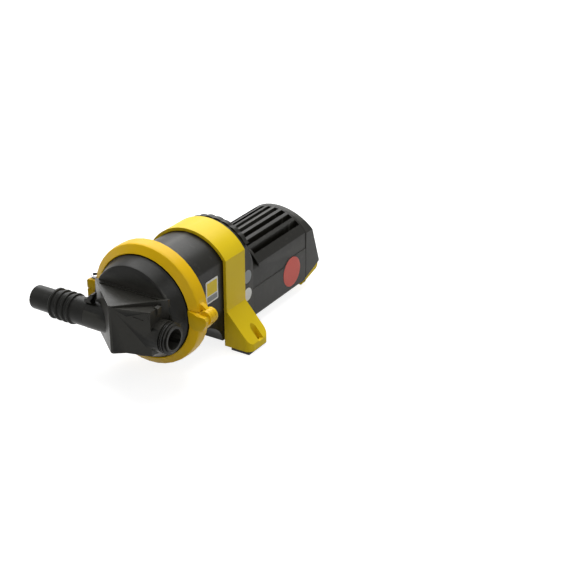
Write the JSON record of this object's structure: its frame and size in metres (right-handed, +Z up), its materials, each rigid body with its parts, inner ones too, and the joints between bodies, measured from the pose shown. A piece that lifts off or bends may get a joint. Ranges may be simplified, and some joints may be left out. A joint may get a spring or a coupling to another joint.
{
  "type": "diaphragm bilge pump",
  "caption": "Motor-driven diaphragm bilge pump with a wedge-fronted head in a hinged clamp ring, a stepped hose tail, a saddle mount and a finned motor cover.",
  "frame": {"origin": "middle of the bounding box, in the plane of the undersides of the foot pads", "axes": "+Y from the pump head back to the motor, +Z up, +X to the side of the port without a hose tail"},
  "size_m": [0.1574, 0.272, 0.1108],
  "materials": {
    "black_plastic": "satin moulded",
    "case_plastic": "fine texture",
    "grey_plastic": "fine texture",
    "yellow_plastic": "smooth moulded",
    "black_rubber": "matt",
    "steel": "machined",
    "white_nylon": "smooth",
    "magnet": "matt",
    "copper": "machined",
    "bronze": "sintered",
    "board": "coated"
  },
  "bodies": {
    "base": {"base_trim": "yellow_plastic", "body_housing": "case_plastic", "brush_left": "magnet", "brush_plate": "white_nylon", "brush_right": "magnet", "cable_gland": "black_plastic", "cap_screw_left": "steel", "cap_screw_right": "steel", "circuit_board": "board", "clamp_hinge_pin": "steel", "clamp_nut": "steel", "clamp_ring_lower": "yellow_plastic", "diaphragm": "black_rubber", "diaphragm_front_plate": "white_nylon", "diaphragm_rear_plate": "white_nylon", "diaphragm_screw": "steel", "foot_pad_left": "black_rubber", "foot_pad_right": "black_rubber", "front_bearing": "steel", "gear_cover": "case_plastic", "magnet_left": "magnet", "magnet_right": "magnet", "motor_can": "steel", "motor_cover_lower": "grey_plastic", "motor_cover_upper": "case_plastic", "mounting_saddle": "yellow_plastic", "rear_bearing": "bronze", "rear_end_cap": "grey_plastic", "sensor_socket": "black_plastic", "wheel_bearing_left": "steel", "wheel_bearing_right": "steel", "worm_front_bearing": "steel"},
    "head": {"pump_head": "black_plastic", "hose_tail": "black_plastic", "hose_tail_seal": "black_rubber", "hose_tail_catch": "black_plastic", "port_seal": "black_rubber", "valve_plate": "white_nylon"},
    "inlet_flap": {"inlet_valve": "black_rubber"},
    "outlet_flap": {"outlet_valve": "black_rubber"},
    "clamp_top": {"clamp_ring_upper": "yellow_plastic", "clamp_screw": "steel"},
    "rotor": {"motor_shaft": "steel", "worm": "steel", "armature_core": "steel", "commutator": "copper"},
    "crank": {"worm_wheel": "white_nylon", "wheel_shaft": "steel", "eccentric": "steel"},
    "rod": {"connecting_rod": "grey_plastic", "rod_bearing": "steel"}
  },
  "joints": [
    {"name": "head_swivel", "type": "hinge", "parent": "base", "child": "head", "pos_m": [0.0151, -0.09359, 0.0578], "axis": [0, 1, 0], "continuous": true},
    {"name": "inlet_flap_hinge", "type": "hinge", "parent": "head", "child": "inlet_flap", "pos_m": [-0.0019, -0.09794, 0.0609], "axis": [1, 0, 0], "range_deg": [0, 12], "stiffness_Nm_per_rad": 0.0005},
    {"name": "outlet_flap_hinge", "type": "hinge", "parent": "head", "child": "outlet_flap", "pos_m": [0.0321, -0.10244, 0.0609], "axis": [1, 0, 0], "range_deg": [-24, 0], "stiffness_Nm_per_rad": 0.0005},
    {"name": "clamp_open", "type": "hinge", "parent": "base", "child": "clamp_top", "pos_m": [0.0727, -0.08459, 0.061], "axis": [0, 1, 0], "range_deg": [0, 70]},
    {"name": "motor_spin", "type": "hinge", "parent": "base", "child": "rotor", "pos_m": [0.0151, 0.00641, 0.0347], "axis": [0, 1, 0], "continuous": true},
    {"name": "crank_spin", "type": "hinge", "parent": "base", "child": "crank", "pos_m": [0.0151, -0.02159, 0.0578], "axis": [1, 0, 0], "continuous": true},
    {"name": "rod_swing", "type": "hinge", "parent": "crank", "child": "rod", "pos_m": [0.0231, -0.02459, 0.0578], "axis": [1, 0, 0], "continuous": true}
  ],
  "couplings": [
    {"joint": "crank_spin", "follows": "motor_spin", "ratio": 0.033333},
    {"joint": "rod_swing", "follows": "motor_spin", "ratio": -0.033333}
  ]
}
